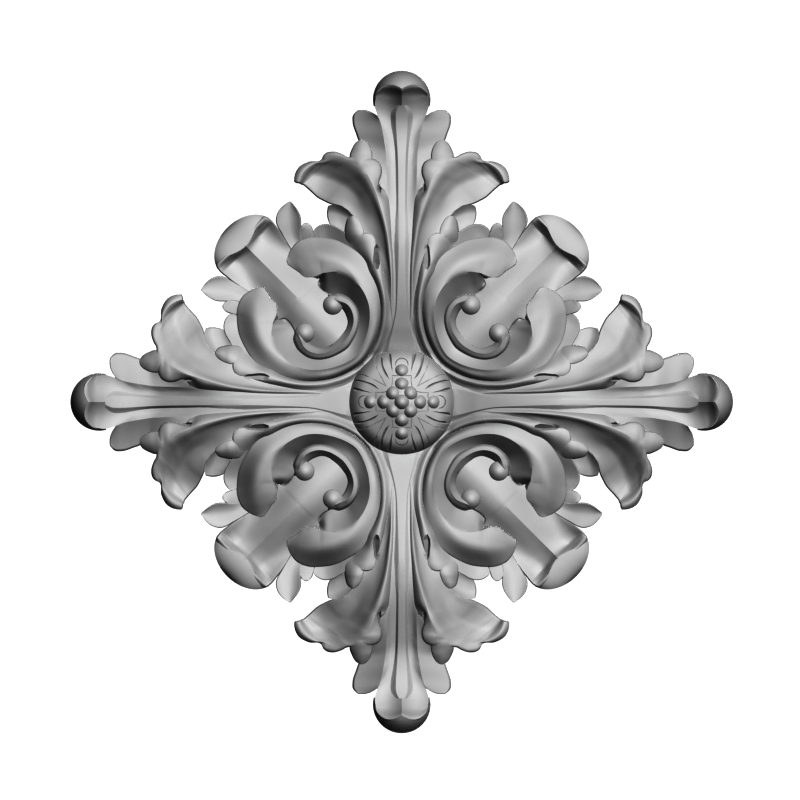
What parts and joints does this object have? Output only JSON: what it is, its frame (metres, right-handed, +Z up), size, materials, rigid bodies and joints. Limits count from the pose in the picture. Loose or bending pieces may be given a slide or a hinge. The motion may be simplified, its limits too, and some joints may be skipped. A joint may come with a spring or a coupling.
{
  "type": "carved rosette",
  "caption": "Square-set carved acanthus rosette with leafy arms, scrolled corners and a beaded round boss, flat-backed for fixing to a wall, door or ceiling.",
  "frame": {"origin": "centre of the flat back, on the face that is fixed to the wall", "axes": "+X to the right as seen from the front, +Z up the wall, -Y out of the wall towards the viewer"},
  "size_m": [0.3312, 0.0383, 0.3312],
  "materials": {
    "primed_wood": "carved wood in flat grey primer"
  },
  "bodies": {
    "root": {"rosette": "primed_wood"}
  },
  "joints": []
}
